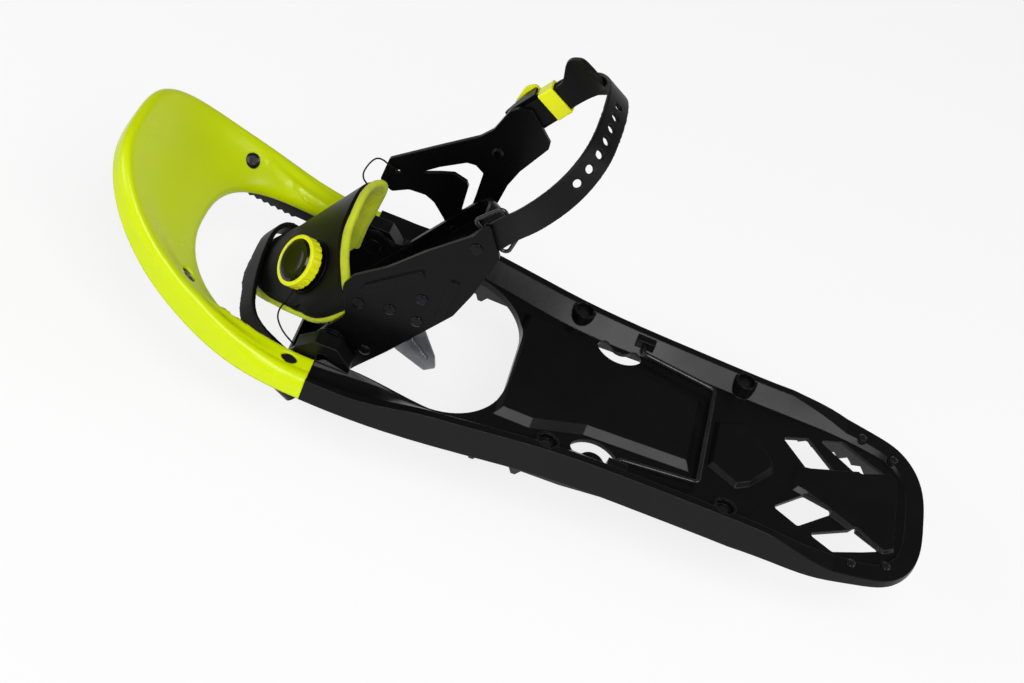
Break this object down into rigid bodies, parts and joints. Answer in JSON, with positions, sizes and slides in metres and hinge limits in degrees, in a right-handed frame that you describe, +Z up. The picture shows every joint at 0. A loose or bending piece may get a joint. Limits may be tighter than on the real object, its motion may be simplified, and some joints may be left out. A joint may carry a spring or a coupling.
{
  "type": "snowshoe",
  "caption": "Snowshoe with curled toe cap, toothed rails, folding heel lift and a pivoting binding with instep wrap, dial lace and heel strap.",
  "frame": {"origin": "centre of the bounding box in plan, at the tips of the lowest claws", "axes": "+Y to the toe, +Z up from the deck, +X to the wearer's right; the binding is drawn with its heel raised 60 degrees"},
  "size_m": [0.2052, 0.625, 0.3167],
  "materials": {
    "black_moulded": "satin moulded plastic",
    "lime_moulded": "glossy lime moulded plastic",
    "dark_rivet": "black coated rivet heads",
    "rail_steel": "black coated sheet steel",
    "claw_steel": "bare pressed steel",
    "bail_wire": "black coated spring wire",
    "bright_rivet": "satin steel",
    "black_binding": "semi-gloss black nylon",
    "black_rubber": "smooth black rubber",
    "black_wrap": "soft coated synthetic",
    "lime_foam": "lime knitted foam liner",
    "black_cord": "thin coated lace",
    "lime_dial": "glossy lime plastic",
    "black_gloss": "glossy black plastic"
  },
  "bodies": {
    "frame": {"deck": "black_moulded", "toe_cap": "lime_moulded", "cap_rivets": "dark_rivet", "deck_rivets": "dark_rivet", "tail_rivets": "dark_rivet", "rail_left": "rail_steel", "rail_right": "rail_steel", "tail_rail_left": "rail_steel", "tail_rail_right": "rail_steel", "pivot_pins": "bright_rivet", "pivot_washers": "black_binding"},
    "binding": {"footbed": "black_binding", "toe_crampon": "claw_steel", "crampon_rivets": "bright_rivet", "left_wing": "black_binding", "right_wing": "black_binding", "wing_rivets": "bright_rivet", "toe_strap": "black_rubber", "toe_strap_rivets": "bright_rivet", "instep_wrap": "black_wrap", "liner": "lime_foam", "wrap_rivets": "bright_rivet", "lace_left": "black_cord", "lace_right": "black_cord", "heel_strap": "black_rubber", "strap_rivet": "bright_rivet", "strap_loop": "bail_wire", "strap_pad": "black_rubber", "pad_rivet": "bright_rivet", "buckle_frame": "black_binding", "buckle_pin": "bright_rivet", "dial_housing": "black_binding", "dial_spindle": "bright_rivet"},
    "heel_lift": {"heel_bail": "bail_wire"},
    "dial_slider": {"dial_sleeve": "black_binding"},
    "dial_grip": {"dial_knob": "lime_dial", "dial_cap": "black_gloss"},
    "lace_spool": {"dial_spool": "black_binding"},
    "lever": {"buckle_lever": "lime_dial"},
    "strap_keeper": {"keeper": "lime_dial"}
  },
  "joints": [
    {"name": "binding_pivot", "type": "hinge", "parent": "frame", "child": "binding", "pos_m": [0, 0.13391, 0.08845], "axis": [-1, 0, 0], "range_deg": [-50, 20]},
    {"name": "heel_bail", "type": "hinge", "parent": "frame", "child": "heel_lift", "pos_m": [0, -0.08009, 0.08845], "axis": [-1, 0, 0], "range_deg": [0, 95]},
    {"name": "dial_pull", "type": "slide", "parent": "binding", "child": "dial_slider", "axis": [-0.454, 0.7716, 0.4455], "range_m": [0, 0.0026]},
    {"name": "dial_turn", "type": "hinge", "parent": "dial_slider", "child": "dial_grip", "pos_m": [-0.022, 0.16557, 0.11482], "axis": [-0.454, 0.7716, 0.4455], "continuous": true},
    {"name": "spool_turn", "type": "hinge", "parent": "binding", "child": "lace_spool", "pos_m": [-0.022, 0.16557, 0.11482], "axis": [-0.454, 0.7716, 0.4455], "continuous": true},
    {"name": "buckle_lever", "type": "hinge", "parent": "binding", "child": "lever", "pos_m": [0.067, 0.05981, 0.25179], "axis": [0, -0.866, -0.5], "range_deg": [0, 35]},
    {"name": "keeper_slide", "type": "slide", "parent": "binding", "child": "strap_keeper", "axis": [0, -0.5, 0.866], "range_m": [0, 0.004]}
  ],
  "couplings": [
    {"joint": "spool_turn", "follows": "dial_turn", "ratio": 1}
  ]
}
